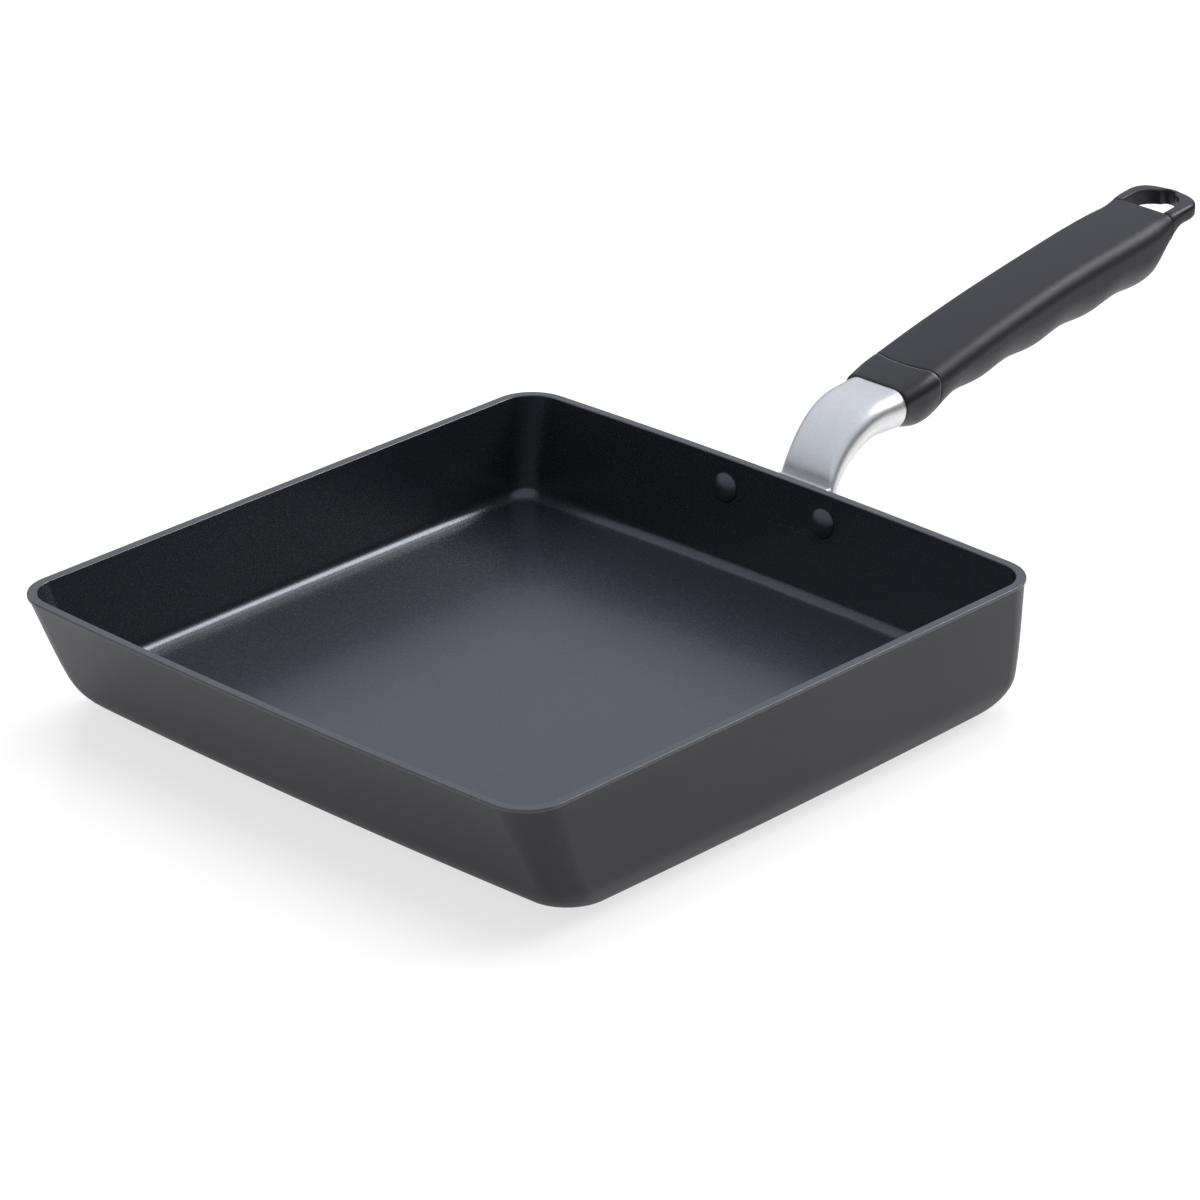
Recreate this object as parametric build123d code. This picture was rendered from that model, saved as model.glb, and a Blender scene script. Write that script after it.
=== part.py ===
from build123d import *
import os
from math import atan2, cos, degrees, exp, pi, radians, sin, sqrt, tan

# A square-cornered pan for rolled omelettes: one cast body, a cast gooseneck bracket riveted to one wall, and
# a two-part plastic grip held on the bracket's tang by one long screw.
# Millimetres. The origin is the centre of the flat underside, +X runs towards the grip and +Z is up.

# Pan body
rim_length = 193.2
rim_width = 185.0
pan_height = 37.5
wall_thickness = 2.4
floor_thickness = 7.0
front_wall_lean = 26.3
side_wall_lean = 1.4
handle_wall_lean = 7.0
front_wall_bow = 1.9
handle_wall_bow = 2.5
side_base_bow = 1.0
side_rim_bow = 0.1
rim_corner_radius = 11.5
front_base_radius = 14.0
side_base_radius = 10.5
handle_base_radius = 12.0
inside_base_radius = 3.5
lip_height = 0.9
lip_overhang = 0.3

# Rivets through the handle wall
rivet_spacing = 35.0
rivet_drop = 8.5
rivet_shank_diameter = 4.8
rivet_dome_diameter = 8.6
rivet_dome_height = 2.0
rivet_tail_diameter = 7.6
rivet_tail_height = 1.6
rivet_clearance = 0.1

# Bracket: flange on the wall, knee, gooseneck, and tang inside the grip
flange_width = 54.0
flange_height = 18.0
flange_thickness = 3.5
flange_corner_radius = 6.0
flange_drop = 3.0
knee_width = 18.0
knee_height = 9.6
knee_drop = 4.7
knee_reach = 12.6
knee_corner = 3.0
knee_edge = 2.5
neck_foot = 8.5
neck_straight = 6.0
neck_climb = 26.0
neck_centre_drop = 11.5
neck_start_turn = 8.0
neck_end_turn = 85.9
neck_width = 21.8
neck_depth = 12.2
neck_shoulder_share = 0.26
neck_corner_share = 0.7
channel_width_share = 0.5
channel_depth_share = 0.5
channel_corner = 1.5
tang_root = 4.0
tang_length = 44.0
tang_width = 11.0
tang_height = 7.0
tang_tip_share = 0.85
tang_corner = 1.5
tang_clearance = 0.15

# Grip, from its front face to the end of its hanging loop
grip_reach = 38.2
grip_length = 131.7
grip_top_rise = 15.5
grip_climb = 21.4
grip_bulge = 3.2
grip_width = 24.8
grip_shoulder = 3.4
collar_corner = 8.6
grip_corner = 9.4
belly_rise = 3.4
belly_climb = 15.1
bulge_pitch = 24.0
bulge_height = 1.1
first_bulge = 33.5
guard_place = 8.5
guard_height = 2.6
guard_length = 9.4
belly_end = 109.0
belly_end_length = 12.5

# Soft sleeve between the two seams
sleeve_start = 10.5
sleeve_seam_radius = 30.0
sleeve_end = 116.3
sleeve_thickness = 1.8

# Hanging loop behind the sleeve
loop_thickness = 4.6
loop_shoulder = 1.6
loop_corner = 1.2
loop_end_bow = 3.2
loop_end_corner = 6.0
loop_step = 0.05
hole_length = 12.4
hole_width = 15.2
driver_relief_diameter = 4.6

# Screw and its washer
screw_diameter = 4.0
screw_head_diameter = 6.8
screw_head_height = 2.8
screw_head_corner = 0.9
screw_point_chamfer = 0.5
screw_slot_width = 1.2
screw_slot_depth = 1.4
screw_clearance = 0.1
screw_engagement = 16.0
screw_front_drop = 6.9
screw_rear_drop = 5.7
head_depth = 12.0
counterbore_clearance = 0.25
washer_diameter = 6.6
washer_thickness = 0.9
washer_slit = 0.6
washer_slit_turn = 30

overrun = 20.0

# Levels of the pan's rounded foot as shares of its largest radius, and corner radii as shares of the rim's
level_shares = (0.0, 0.016, 0.059, 0.134, 0.241, 0.375, 0.536, 0.75, 1.0)
corner_shares = [(0.0, 1.04), (0.32, 0.76), (1.0, 1.0)]

# Width and depth of the gooseneck at shares of the way to the grip, which holds its last, straight part
neck_width_shares = [(0.0, 0.87), (0.22, 0.855), (0.36, 0.88), (0.53, 0.915), (0.8, 0.963), (1.0, 1.0)]
neck_depth_shares = [
    (0.0, 0.31), (0.08, 0.35), (0.22, 0.55), (0.36, 0.735), (0.53, 0.825), (0.8, 0.92), (1.0, 1.0),
]
curve_share = 0.8
straight_share = 0.5
neck_steps = 8
bulge_steps = 6

# Half width of the grip at shares of its length
width_shares = [
    (0.0, 0.911), (0.07, 1.0), (0.3, 0.992), (0.55, 0.976), (0.79, 0.992), (0.88, 0.919), (1.0, 0.903),
]

# Places that follow from the sizes above
rim_x = rim_length / 2 + handle_wall_bow
rim_z = pan_height
grip_x = rim_x + grip_reach
grip_z = rim_z + grip_top_rise
loop_start = belly_end + belly_end_length
neck_x = grip_x - neck_straight
neck_run = neck_x - rim_x - neck_foot
neck_z = rim_z - neck_centre_drop
knee_z = rim_z - knee_drop


def smooth(shares, place):
    """Value at a place in a table of places and values, on a smooth curve through its points."""
    last = len(shares) - 1
    i = max(k for k in range(last) if shares[k][0] <= place)
    (x0, y0), (x1, y1) = shares[i], shares[i + 1]

    def slope(k):
        low, high = shares[max(k - 1, 0)], shares[min(k + 1, last)]
        return (high[1] - low[1]) / (high[0] - low[0])

    step = x1 - x0
    u = (place - x0) / step
    start = y0 * (1 + 2 * u) * (1 - u) ** 2 + slope(i) * step * u * (1 - u) ** 2
    return start + y1 * u * u * (3 - 2 * u) - slope(i + 1) * step * u * u * (1 - u)


def mix(low, high, u):
    return low + (high - low) * u


def blend(low, high, u):
    """Change from low to high with level ends, as u goes from 0 to 1."""
    u = min(max(u, 0), 1)
    return mix(low, high, u * u * (3 - 2 * u))


# Pan body

def walled_outline(front, back, side, side_bow, z, corner_radius):
    """Level face with rounded corners, whose edges bow outwards."""
    edges = (
        ThreePointArc((front, -side), ((front + back) / 2, -side - side_bow), (back, -side))
        + ThreePointArc((back, -side), (back + handle_wall_bow, 0), (back, side))
        + ThreePointArc((back, side), ((front + back) / 2, side + side_bow), (front, side))
        + ThreePointArc((front, side), (front - front_wall_bow, 0), (front, -side))
    )
    face = make_face(edges)
    return Pos(0, 0, z) * fillet(face.vertices(), corner_radius)


def wall_reach(half_size, lean, radius, foot, inset, z):
    """Reach of a wall at a height: a leaning line, and a radius that joins it to its foot."""
    turn = radians(lean)
    centre_z = foot + radius

    def line(height):
        return half_size - lip_overhang - inset / cos(turn) - (pan_height - lip_height - height) * tan(turn)

    if z > centre_z - radius * sin(turn):
        return line(z)
    drop = min(centre_z - z, radius)
    return line(centre_z) - radius / cos(turn) + sqrt(radius ** 2 - drop ** 2)


def wall_outline(z, foot, inset, radii):
    """Level section of the walls, moved inwards by an inset, with the radii of their foot at a height."""
    up = min(z / pan_height, 1)
    front_radius, side_radius, handle_radius = radii
    front = -wall_reach(rim_length / 2, front_wall_lean, front_radius, foot, inset, z)
    back = wall_reach(rim_length / 2, handle_wall_lean, handle_radius, foot, inset, z)
    side = wall_reach(rim_width / 2, side_wall_lean, side_radius, foot, inset, z)
    side_bow = mix(side_base_bow, side_rim_bow, up)
    return walled_outline(front, back, side, side_bow, z, rim_corner_radius * smooth(corner_shares, up) - inset)


def walls_form(foot, top, inset, radii):
    """Solid inside the walls' outer or inner surface: a rounded foot, and straight walls up to a height."""
    levels = [wall_outline(foot + max(radii) * share, foot, inset, radii) for share in level_shares]
    return loft(levels) + loft([levels[-1], wall_outline(top, foot, inset, radii)], ruled=True)


def pan_outside():
    """Outside form of the pan, filled, with the lip round its rim."""
    top = pan_height - lip_height
    lip = walled_outline(-rim_length / 2, rim_length / 2, rim_width / 2, side_rim_bow, top, rim_corner_radius)
    radii = (front_base_radius, side_base_radius, handle_base_radius)
    return walls_form(0, top, 0, radii) + extrude(lip, lip_height)


def pan_inside():
    """Inside form of the pan, run past the rim."""
    radii = (inside_base_radius, inside_base_radius, inside_base_radius)
    return walls_form(floor_thickness, pan_height + lip_height, wall_thickness, radii)


def pan_body(outside):
    body = outside - pan_inside()
    for place in rivet_places():
        body -= place * Cylinder(rivet_shank_diameter / 2 + rivet_clearance, overrun)
    return body


# Rivets

def handle_wall_plane(y, z):
    """Plane on the outside of the handle wall, its normal pointing away from the pan."""
    bow_radius = (rim_width ** 2 / 4 + handle_wall_bow ** 2) / (2 * handle_wall_bow)
    bow = sqrt(bow_radius ** 2 - y ** 2) - (bow_radius - handle_wall_bow)
    lean = radians(handle_wall_lean)
    rise = z - (pan_height - lip_height)
    x = rim_length / 2 - lip_overhang + bow + rise * tan(lean)
    return Plane(origin=(x, y, z), x_dir=(0, 1, 0), z_dir=(cos(lean), 0, -sin(lean)))


def rivet_places():
    return [handle_wall_plane(side * rivet_spacing / 2, rim_z - rivet_drop) for side in (-1, 1)]


def post(diameter, length):
    """Cylinder that stands on its foot."""
    return Cylinder(diameter / 2, length, align=(Align.CENTER, Align.CENTER, Align.MIN))


def dome(diameter, height, root):
    """Shallow ball cap with its foot at Z 0, on a short root."""
    radius = (diameter ** 2 / 4 + height ** 2) / (2 * height)
    ball = Pos(0, 0, height - radius) * Sphere(radius)
    return (ball & post(diameter, height)) + Pos(0, 0, -root) * post(diameter, root)


def rivet():
    """Rivet along Z: its dome in the pan, its closed head beyond the flange."""
    inner = Rot(180, 0, 0) * dome(rivet_dome_diameter, rivet_dome_height, wall_thickness / 2)
    outer = dome(rivet_tail_diameter, rivet_tail_height, flange_thickness / 2)
    shank = post(rivet_shank_diameter, wall_thickness + flange_thickness)
    return Pos(0, 0, -wall_thickness) * (inner + shank) + Pos(0, 0, flange_thickness) * outer


def rivets(body, bracket):
    """Both rivets, their heads seated on the wall and on the flange."""
    return [place * rivet() - body - bracket for place in rivet_places()]


# Section used by the neck and by the grip

def handle_section(plane, half_width, depth, shoulder, corner):
    """Flat-topped section, rounded at its shoulders and lower corners, that hangs from the plane's origin."""
    w, d, s, c = half_width, depth, shoulder, corner
    edges = (
        Line((s - w, 0), (w - s, 0))
        + CenterArc((w - s, -s), s, 90, -90)
        + Line((w, -s), (w, c - d))
        + CenterArc((w - c, c - d), c, 0, -90)
        + Line((w - c, -d), (c - w, -d))
        + CenterArc((c - w, c - d), c, 270, -90)
        + Line((-w, c - d), (-w, -s))
        + CenterArc((s - w, -s), s, 180, -90)
    )
    return plane * make_face(edges)


def cross_plane(x, z, heading):
    """Plane across the handle at a point of its top line, which climbs at a heading above +X."""
    turn = radians(heading)
    return Plane(origin=(x, 0, z), x_dir=(0, 1, 0), z_dir=(cos(turn), 0, sin(turn)))


# Grip

def grip_top(t):
    """Height of the grip's top line at a distance behind its front face."""
    u = t / grip_length
    return grip_z + grip_climb * u + 4 * grip_bulge * u * (1 - u)


def grip_depth(t):
    """Depth of the grip below its top line, with the finger bulges and the guard in front of them."""
    wave = bulge_height / 2 * (1 - cos(2 * pi * (t - first_bulge) / bulge_pitch))
    guard = guard_height * exp(-(((t - guard_place) / guard_length) ** 2))
    underside = rim_z + belly_rise + belly_climb * t / grip_length + wave - guard
    return blend(grip_top(t) - underside, loop_thickness, (t - belly_end) / belly_end_length)


def grip_section(t, inset):
    tail = (t - belly_end) / belly_end_length
    shoulder = blend(grip_shoulder, loop_shoulder, tail)
    corner = blend(blend(collar_corner, grip_corner, t / first_bulge), loop_corner, tail)
    half_width = grip_width / 2 * smooth(width_shares, t / grip_length)
    if t == loop_start:
        inset = loop_step
    plane = cross_plane(grip_x + t, grip_top(t) - inset, 0)
    return handle_section(
        plane, half_width - inset, grip_depth(t) - 2 * inset, shoulder - inset, corner - inset
    )


def grip_form(start, end, inset):
    """Grip between two distances behind its front face, moved inwards by a thickness."""
    steps = round((end - start) * bulge_steps / bulge_pitch)
    places = [start + (end - start) * k / steps for k in range(steps)] + [end]
    return loft([grip_section(t, inset) for t in places])


def loop_end():
    """End of the hanging loop: a thin plate with a rounded end."""
    start = grip_x + loop_start
    end = grip_x + grip_length
    half = grip_width / 2 * width_shares[-1][1]
    corner = end - loop_end_bow
    outline = make_face(
        Line((start, -half), (corner, -half))
        + ThreePointArc((corner, -half), (end, 0), (corner, half))
        + Polyline((corner, half), (start, half), (start, -half))
    )
    outline = fillet(outline.vertices().group_by(Axis.X)[-1], loop_end_corner)
    column = extrude(outline, grip_top(grip_length) + overrun)
    top_start, top_end = grip_top(loop_start), grip_top(grip_length)
    side = make_face(
        Polyline(
            (start, top_start), (end, top_end), (end, top_end - loop_thickness),
            (start, top_start - loop_thickness), (start, top_start),
        )
    )
    plate = column & extrude(Plane.XZ * side, grip_width, both=True)
    for side, radius in ((-1, loop_shoulder), (0, loop_corner)):
        around = plate.faces().sort_by(Axis.Z)[side].edges()
        plate = fillet([edge for edge in around if edge.center().X > start + loop_step], radius)
    return plate


def sleeve_zone():
    """Space between the curved front seam and the straight rear seam."""
    front = grip_x + sleeve_start
    back = grip_x + sleeve_end
    side = grip_width
    sag = sleeve_seam_radius - sqrt(sleeve_seam_radius ** 2 - side ** 2)
    edges = ThreePointArc((front + sag, -side), (front, 0), (front + sag, side)) + Polyline(
        (front + sag, side), (back, side), (back, -side), (front + sag, -side)
    )
    return extrude(make_face(edges), grip_z + grip_climb + overrun)


def hanging_hole():
    front = grip_x + sleeve_end
    back = front + hole_length
    half = hole_width / 2
    edges = Polyline((back - half, half), (front, half), (front, -half), (back - half, -half)) + ThreePointArc(
        (back - half, -half), (back, 0), (back - half, half)
    )
    relief = Pos(back, 0, 0) * post(driver_relief_diameter, grip_z + grip_climb + overrun)
    return extrude(make_face(edges), grip_z + grip_climb + overrun) + relief


def screw_ends():
    """Points where the screw's axis crosses the grip's front face and the front wall of the hanging hole."""
    front = Vector(grip_x, 0, grip_z - screw_front_drop)
    back = Vector(grip_x + sleeve_end, 0, grip_top(sleeve_end) - screw_rear_drop)
    return front, back


def axis_plane(origin):
    """Plane across the screw's axis, its normal pointing to the hanging hole."""
    front, back = screw_ends()
    return Plane(origin=origin, x_dir=(0, 1, 0), z_dir=(back - front).normalized())


def seat_plane():
    front, back = screw_ends()
    return axis_plane(back - (back - front).normalized() * head_depth)


def shank_length():
    """From the washer's seat to the screw's tip in the tang."""
    front, back = screw_ends()
    return (back - front).length - head_depth - tang_length + screw_engagement


def grip_core(form, sleeve_space, inner):
    core = (form - sleeve_space) + inner + loop_end()
    bore = Pos(0, 0, -shank_length()) * post(screw_diameter + 2 * screw_clearance, shank_length())
    counterbore = post(screw_head_diameter + 2 * counterbore_clearance, head_depth + hole_length / 2)
    return core - hanging_hole() - tang(tang_clearance) - seat_plane() * (bore + counterbore)


# Bracket

def tang(clearance):
    """Tapered bar on the screw's axis, grown by a clearance."""
    front, back = screw_ends()
    plane = axis_plane(front)
    root = RectangleRounded(tang_width + 2 * clearance, tang_height + 2 * clearance, tang_corner)
    tip = RectangleRounded(
        tang_width * tang_tip_share + 2 * clearance, tang_height * tang_tip_share + 2 * clearance, tang_corner
    )
    return plane * loft([Pos(0, 0, -tang_root) * root, Pos(0, 0, tang_length + clearance) * tip])


def neck_stations():
    """Planes across the gooseneck, along the quarter ellipse and the straight of its top line."""
    stations = []
    for k in range(neck_steps + 1):
        turn = radians(mix(neck_start_turn, neck_end_turn, k / neck_steps))
        x = neck_x - neck_run * cos(turn)
        z = neck_z + neck_climb * sin(turn)
        heading = degrees(atan2(neck_climb * cos(turn), neck_run * sin(turn)))
        stations.append((cross_plane(x, z, heading), curve_share * k / neck_steps))
    for share in (mix(curve_share, 1, straight_share), 1):
        reach = (grip_x - x) * (share - curve_share) / (1 - curve_share)
        plane = cross_plane(x + reach, z + reach * tan(radians(heading)), heading if share < 1 else 0)
        stations.append((plane, share))
    return stations


def neck():
    sections = []
    for plane, share in neck_stations():
        half_width = neck_width / 2 * smooth(neck_width_shares, share)
        depth = neck_depth * smooth(neck_depth_shares, share)
        sections.append(
            handle_section(plane, half_width, depth, depth * neck_shoulder_share, depth * neck_corner_share)
        )
    return loft(sections)


def neck_channel():
    """Open channel along the neck's underside."""
    sections = []
    for plane, share in neck_stations()[2:-1]:
        width = neck_width * smooth(neck_width_shares, share) * channel_width_share
        depth = neck_depth * smooth(neck_depth_shares, share)
        hollow = RectangleRounded(width, 2 * depth * channel_depth_share, channel_corner)
        sections.append(plane * Pos(0, -depth, 0) * hollow)
    return loft(sections)


def knee():
    """Block between the flange and the gooseneck."""
    length = knee_reach + overrun
    block = Pos(rim_x - overrun, 0, knee_z) * Box(
        length, knee_width, knee_height, align=(Align.MIN, Align.CENTER, Align.MAX)
    )
    block = fillet(block.edges().filter_by(Axis.Z).group_by(Axis.X)[-1], knee_corner)
    return fillet(block.edges().group_by(Axis.Z)[0], knee_edge)


def flange(outside):
    """Plate against the handle wall, its outer face parallel to it."""
    middle = rim_z - flange_drop - flange_height / 2
    window = handle_wall_plane(0, middle) * extrude(
        RectangleRounded(flange_width, flange_height, flange_corner_radius), overrun / 2, both=True
    )
    return window & Pos(flange_thickness, 0, 0) * outside


def handle_bracket(outside):
    bracket = neck() - neck_channel() + knee() + flange(outside) + tang(0) - outside
    hole = post(screw_diameter + 2 * screw_clearance, shank_length())
    bracket -= seat_plane() * Pos(0, 0, -shank_length() - screw_clearance) * hole
    for place in rivet_places():
        bracket -= place * Cylinder(rivet_shank_diameter / 2 + rivet_clearance, overrun)
    return bracket


# Screw and washer

def handle_screw():
    """Slotted screw whose head stands on the washer."""
    head = Pos(0, 0, washer_thickness) * post(screw_head_diameter, screw_head_height)
    head = fillet(head.edges().sort_by(Axis.Z)[-1], screw_head_corner)
    length = shank_length() + washer_thickness
    shank = Pos(0, 0, -shank_length()) * post(screw_diameter, length)
    shank = chamfer(shank.edges().sort_by(Axis.Z)[0], screw_point_chamfer)
    slot = Pos(0, 0, washer_thickness + screw_head_height) * Box(
        overrun, screw_slot_width, 2 * screw_slot_depth
    )
    return seat_plane() * (head + shank - slot)


def lock_washer():
    """Split spring washer under the screw's head."""
    ring = post(washer_diameter, washer_thickness) - post(screw_diameter + 2 * screw_clearance, washer_thickness)
    slit = Pos(0, washer_diameter / 2, 0) * Rot(0, washer_slit_turn, 0) * Box(washer_slit, washer_diameter, overrun)
    return seat_plane() * (ring - slit)


def build():
    outside = pan_outside()
    body = pan_body(outside)
    bracket = handle_bracket(outside)
    pair = rivets(body, bracket)
    form = grip_form(0, loop_start, 0)
    inner = grip_form(sleeve_start - sleeve_thickness, sleeve_end + sleeve_thickness / 2, sleeve_thickness)
    space = sleeve_zone()
    return {
        "pan_body": body,
        "rivets": Compound(children=[Compound(children=list(one.solids())) for one in pair]),
        "handle_bracket": bracket,
        "grip_core": grip_core(form, space, inner),
        "grip_sleeve": (form & space) - inner,
        "handle_screw": handle_screw(),
        "lock_washer": lock_washer(),
    }


if __name__ == "__main__":
    os.makedirs("parts", exist_ok=True)
    for node, shape in build().items():
        export_step(shape, "parts/" + node + ".step")
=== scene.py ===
from math import acos, asin, atan2, cos, exp, pi, radians, sin, sqrt, tan
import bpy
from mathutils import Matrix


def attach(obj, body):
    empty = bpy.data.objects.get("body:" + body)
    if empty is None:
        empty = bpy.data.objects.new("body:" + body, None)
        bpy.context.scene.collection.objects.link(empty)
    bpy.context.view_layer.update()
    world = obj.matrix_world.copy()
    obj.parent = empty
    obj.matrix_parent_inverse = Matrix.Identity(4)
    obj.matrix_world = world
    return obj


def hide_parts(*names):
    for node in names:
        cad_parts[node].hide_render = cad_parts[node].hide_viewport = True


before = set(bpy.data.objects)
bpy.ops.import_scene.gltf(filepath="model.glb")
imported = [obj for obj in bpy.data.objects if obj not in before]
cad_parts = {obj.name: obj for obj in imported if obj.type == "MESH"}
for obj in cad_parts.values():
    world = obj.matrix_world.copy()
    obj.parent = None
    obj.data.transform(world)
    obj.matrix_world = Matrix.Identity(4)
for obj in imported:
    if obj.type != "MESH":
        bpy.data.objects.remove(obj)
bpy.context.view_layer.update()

from types import SimpleNamespace

import bmesh
import bpy
from bpy.props import FloatProperty, FloatVectorProperty, IntProperty
from mathutils import Matrix, Vector

bl_info = {
    "name": "Omelette Pan",
    "version": (1, 0, 0),
    "blender": (4, 5, 0),
    "location": "3D View > Sidebar > Omelette Pan",
    "description": "Dresses the packed omelette pan with detailed pieces, finishes and a studio stage",
    "category": "Object",
}

MM = 0.001


def size(name, millimetres, description):
    return FloatProperty(name=name, description=description, default=millimetres * MM, unit="LENGTH")


def angle(name, degrees, description):
    return FloatProperty(name=name, description=description, default=radians(degrees), subtype="ANGLE")


def colour(name, rgb, description):
    return FloatVectorProperty(name=name, description=description, default=rgb, subtype="COLOR", size=3, min=0, max=1)


def plain(name, value, description):
    return FloatProperty(name=name, description=description, default=value)


def count(name, value, description):
    return IntProperty(name=name, description=description, default=value, min=2)


# Settings

class PanSizes(bpy.types.PropertyGroup):
    rim_length: size("Rim Length", 193.2, "Length of the rim between its corners")
    rim_width: size("Rim Width", 185.0, "Width of the rim")
    height: size("Height", 37.5, "Height of the rim above the underside")
    wall: size("Wall", 2.4, "Thickness of the walls")
    floor: size("Floor", 7.0, "Height of the floor inside")
    front_lean: angle("Front Lean", 26.3, "Lean of the wall opposite the handle")
    side_lean: angle("Side Lean", 1.4, "Lean of the side walls")
    handle_lean: angle("Handle Lean", 7.0, "Lean of the handle wall")
    front_bow: size("Front Bow", 1.9, "Bow of the front edge")
    handle_bow: size("Handle Bow", 2.5, "Bow of the handle edge")
    side_base_bow: size("Side Base Bow", 1.0, "Bow of the side walls at the base")
    side_rim_bow: size("Side Rim Bow", 0.1, "Bow of the side walls at the rim")
    corner: size("Corner", 11.5, "Radius of the rim's corners")
    front_foot: size("Front Foot Radius", 14.0, "Radius between the front wall and the base")
    side_foot: size("Side Foot Radius", 10.5, "Radius between a side wall and the base")
    handle_foot: size("Handle Foot Radius", 12.0, "Radius between the handle wall and the base")
    inside_foot: size("Inside Foot Radius", 3.5, "Radius between the walls and the floor inside")
    lip_height: size("Lip Height", 0.9, "Height of the small lip round the rim")
    lip_overhang: size("Lip Overhang", 0.3, "Overhang of the small lip round the rim")
    rim_edge: size("Rim Edge", 0.3, "Rounding of the rim's edges")


class RivetSizes(bpy.types.PropertyGroup):
    rivets: count("Rivets", 2, "Rivets through the handle wall")
    spacing: size("Spacing", 35.0, "Distance between the rivets")
    drop: size("Drop", 8.5, "Distance of the rivets below the rim")
    dome: size("Dome Diameter", 8.6, "Diameter of the domes in the pan")
    dome_height: size("Dome Height", 2.0, "Height of the domes in the pan")
    tail: size("Tail Diameter", 7.6, "Diameter of the closed heads outside")
    tail_height: size("Tail Height", 1.6, "Height of the closed heads outside")
    shank: size("Shank", 4.8, "Diameter of the shanks")


class BracketSizes(bpy.types.PropertyGroup):
    flange_width: size("Flange Width", 54.0, "Width of the plate on the wall")
    flange_height: size("Flange Height", 18.0, "Height of the plate on the wall")
    flange_thickness: size("Flange Thickness", 3.5, "Thickness of the plate on the wall")
    flange_corner: size("Flange Corner", 6.0, "Radius of the plate's corners")
    flange_drop: size("Flange Drop", 3.0, "Distance of the plate below the rim")
    knee_width: size("Knee Width", 18.0, "Width of the block under the gooseneck")
    knee_height: size("Knee Height", 9.6, "Height of the block under the gooseneck")
    knee_drop: size("Knee Drop", 4.7, "Distance of the block below the rim")
    knee_reach: size("Knee Reach", 12.6, "Reach of the block from the rim")
    knee_corner: size("Knee Corner", 3.0, "Radius of the block's upright edges")
    knee_edge: size("Knee Edge", 2.5, "Radius of the block's lower edge")
    neck_reach: size("Neck Reach", 32.2, "Distance from the rim to the end of the gooseneck's curve")
    neck_run: size("Neck Run", 23.7, "Length of the gooseneck's curve")
    neck_climb: size("Neck Climb", 26.0, "Height of the gooseneck's curve")
    neck_drop: size("Neck Drop", 11.5, "Distance of the curve's centre below the rim")
    start_turn: angle("Start Turn", 8.0, "Turn at which the curve starts")
    end_turn: angle("End Turn", 85.9, "Turn at which the curve ends")
    neck_width: size("Neck Width", 21.8, "Width of the gooseneck at the grip")
    neck_depth: size("Neck Depth", 12.2, "Depth of the gooseneck at the grip")


class GripSizes(bpy.types.PropertyGroup):
    reach: size("Reach", 38.2, "Distance from the rim to the grip's front face")
    length: size("Length", 131.7, "Length of the grip with its hanging loop")
    rise: size("Rise", 15.5, "Height of the grip's front end above the rim")
    climb: size("Climb", 21.4, "Climb of the grip's top line")
    crown: size("Crown", 3.2, "Crown of the grip's top line")
    arch: size("Arch", 0.6, "Arch of the grip's top across its width")
    half_width: size("Half Width", 12.4, "Half of the grip's width")
    collar_shoulder: size("Collar Shoulder", 3.4, "Radius of the upper edges at the front")
    shoulder: size("Shoulder", 4.3, "Radius of the grip's upper edges")
    collar_corner: size("Collar Corner", 8.6, "Radius of the lower edges at the front")
    corner: size("Corner", 9.4, "Radius of the grip's lower edges")
    belly: size("Belly", 3.4, "Height of the underside above the rim")
    belly_climb: size("Belly Climb", 15.1, "Climb of the underside")
    bulge_pitch: size("Bulge Pitch", 24.0, "Distance between the finger bulges")
    bulge_height: size("Bulge Height", 1.1, "Height of the finger bulges")
    first_bulge: size("First Bulge", 33.5, "Place of the first finger bulge")
    guard_place: size("Guard Place", 8.5, "Place of the finger guard")
    guard_height: size("Guard Height", 2.6, "Height of the finger guard")
    guard_length: size("Guard Length", 9.4, "Length of the finger guard")
    tail: size("Tail", 109.0, "Place where the belly ends")
    tail_length: size("Tail Length", 12.5, "Length over which the belly thins to the loop")
    seam: size("Front Seam", 10.5, "Place of the sleeve's front seam")
    seam_radius: size("Seam Radius", 30.0, "Radius of the sleeve's front seam")
    sleeve_end: size("Rear Seam", 116.3, "Place of the sleeve's rear seam")
    sleeve_thickness: size("Sleeve Thickness", 1.8, "Thickness of the sleeve")
    seam_edge: size("Seam Edge", 0.35, "Rounding of the edges at the seams")
    loop_thickness: size("Loop Thickness", 4.6, "Thickness of the hanging loop")
    loop_shoulder: size("Loop Shoulder", 1.6, "Radius of the loop's upper edge")
    loop_corner: size("Loop Corner", 1.2, "Radius of the loop's lower edge")
    loop_bow: size("Loop Bow", 3.2, "Bow of the loop's end")
    loop_end_corner: size("Loop End Corner", 6.0, "Radius of the corners at the loop's end")
    hole_length: size("Hole Length", 12.4, "Length of the hanging hole")
    hole_width: size("Hole Width", 15.2, "Width of the hanging hole")
    relief: size("Driver Relief", 4.6, "Diameter of the relief for a driver")
    screw_drop: size("Screw Drop", 5.7, "Distance of the screw below the top at the hole")
    screw_front_drop: size("Screw Front Drop", 6.9, "Distance of the screw's axis below the top at the front")
    counterbore: size("Counterbore", 7.3, "Diameter of the counterbore for the screw's head")
    counterbore_depth: size("Counterbore Depth", 12.0, "Depth of the counterbore")
    rows: count("Rows", 132, "Rows of faces along the sleeve")
    corner_steps: count("Corner Steps", 12, "Points in each rounded edge of the grip")
    flat_steps: count("Flat Steps", 8, "Points on each flat between the rounded edges of the grip")


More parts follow.
